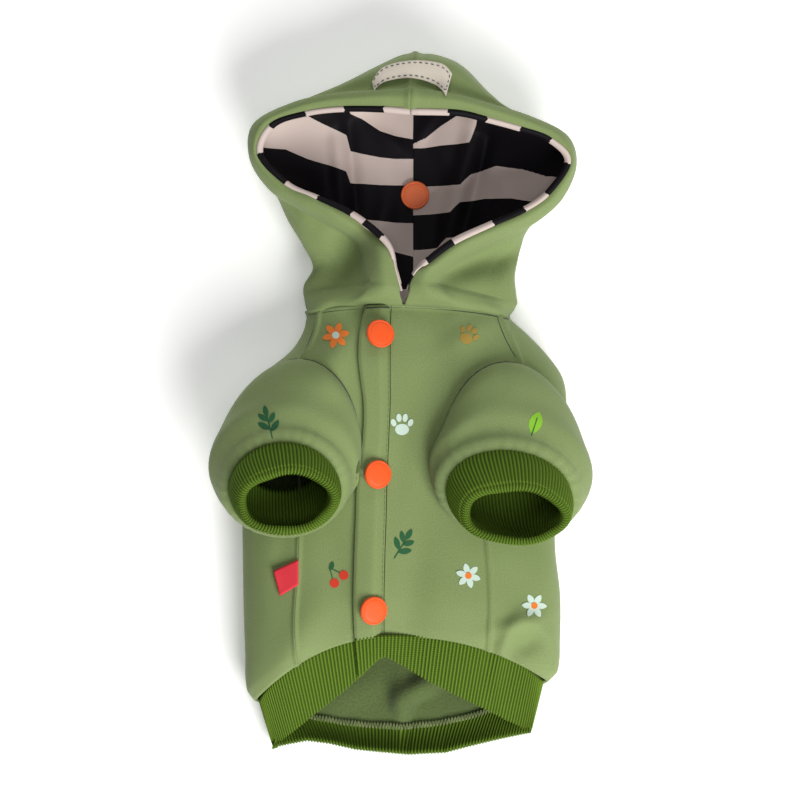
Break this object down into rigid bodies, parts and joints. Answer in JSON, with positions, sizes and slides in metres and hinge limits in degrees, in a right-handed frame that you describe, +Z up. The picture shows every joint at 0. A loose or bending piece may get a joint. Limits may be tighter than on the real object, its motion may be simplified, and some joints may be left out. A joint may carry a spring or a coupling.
{
  "type": "dog hoodie",
  "caption": "Small dog's hooded jacket with short sleeves, rib cuffs and hem, snap placket and striped hood lining, lying on its back.",
  "frame": {"origin": "on the surface that the hoodie lies on, under the middle of its outline", "axes": "+Z up from the back to the belly side, +Y from the hem to the hood, +X to the side that is on the right when the belly side is seen with the hood up"},
  "size_m": [0.1786, 0.3326, 0.0754],
  "materials": {
    "sage_cloth": "smooth double knit",
    "green_rib": "ribbed knit",
    "striped_lining": "striped jersey",
    "orange_plastic": "satin moulded",
    "cream_label": "woven label",
    "red_tag": "woven tape"
  },
  "bodies": {
    "root": {"back_panel": "sage_cloth", "front_left_panel": "sage_cloth", "front_right_panel": "sage_cloth", "placket": "sage_cloth", "left_sleeve": "sage_cloth", "right_sleeve": "sage_cloth", "hood_left": "sage_cloth", "hood_right": "sage_cloth", "left_cuff": "green_rib", "right_cuff": "green_rib", "hem_band": "green_rib", "lining_left": "striped_lining", "lining_right": "striped_lining", "snap_cap_1": "orange_plastic", "snap_cap_2": "orange_plastic", "snap_cap_3": "orange_plastic", "hood_snap_cap": "orange_plastic", "snap_back_1": "orange_plastic", "snap_back_2": "orange_plastic", "snap_back_3": "orange_plastic", "hood_snap_back": "orange_plastic", "crown_label": "cream_label", "side_tag": "red_tag"}
  },
  "joints": []
}
